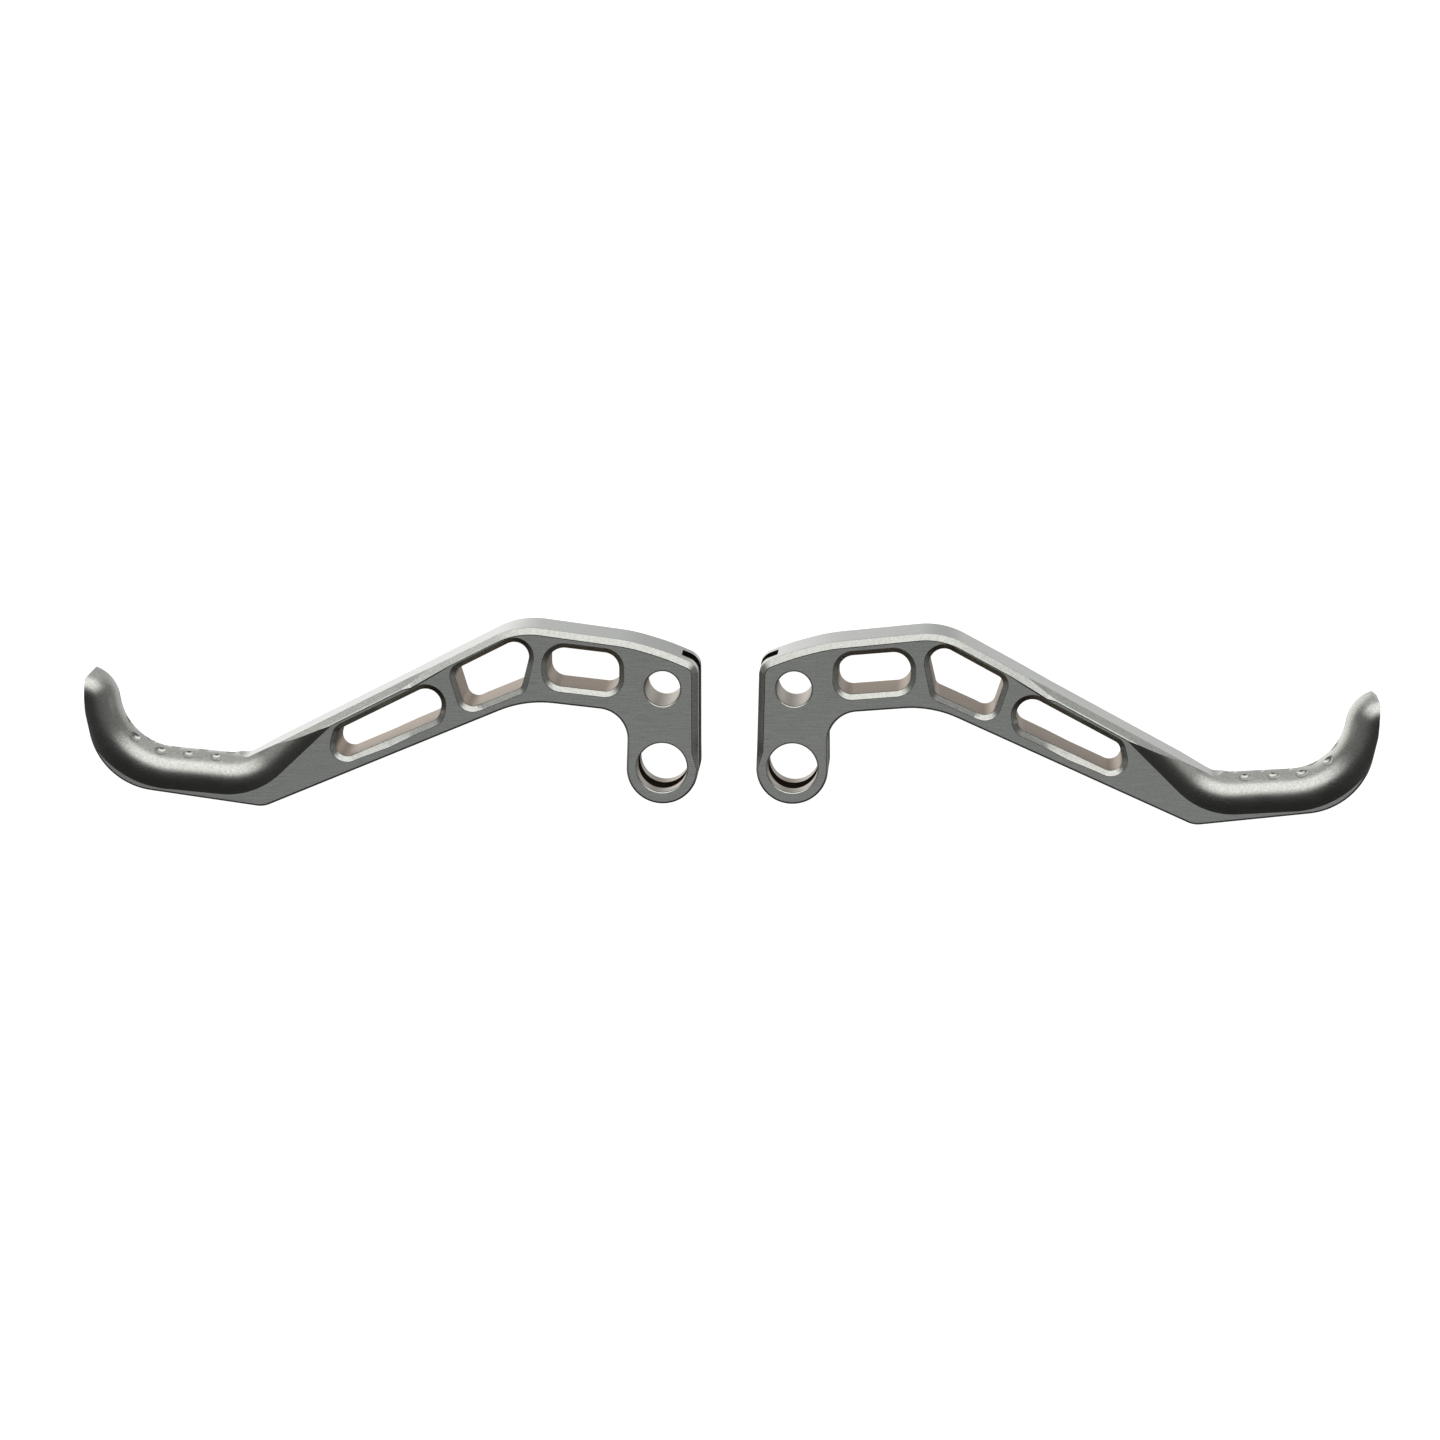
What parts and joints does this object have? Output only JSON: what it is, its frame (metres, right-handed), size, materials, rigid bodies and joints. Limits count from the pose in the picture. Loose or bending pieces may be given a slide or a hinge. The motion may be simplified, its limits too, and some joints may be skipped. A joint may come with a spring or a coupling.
{
  "type": "brake lever blade pair",
  "caption": "Left and right one-finger bicycle brake lever blades in machined aluminium, with slotted pivot heads, windowed arms and dimpled finger hooks.",
  "frame": {"origin": "bottom centre of the pair's bounding box, on the surface that both blades lie flat on", "axes": "+X runs across the pair from the left blade to the right blade, +Y is the side that the fingers pull on, +Z is parallel to both pivot bores"},
  "size_m": [0.213, 0.0316, 0.0115],
  "materials": {
    "blade_aluminium": "machined, satin, fine straight tool marks"
  },
  "bodies": {
    "root": {"left_lever_blade": "blade_aluminium", "right_lever_blade": "blade_aluminium"}
  },
  "joints": []
}
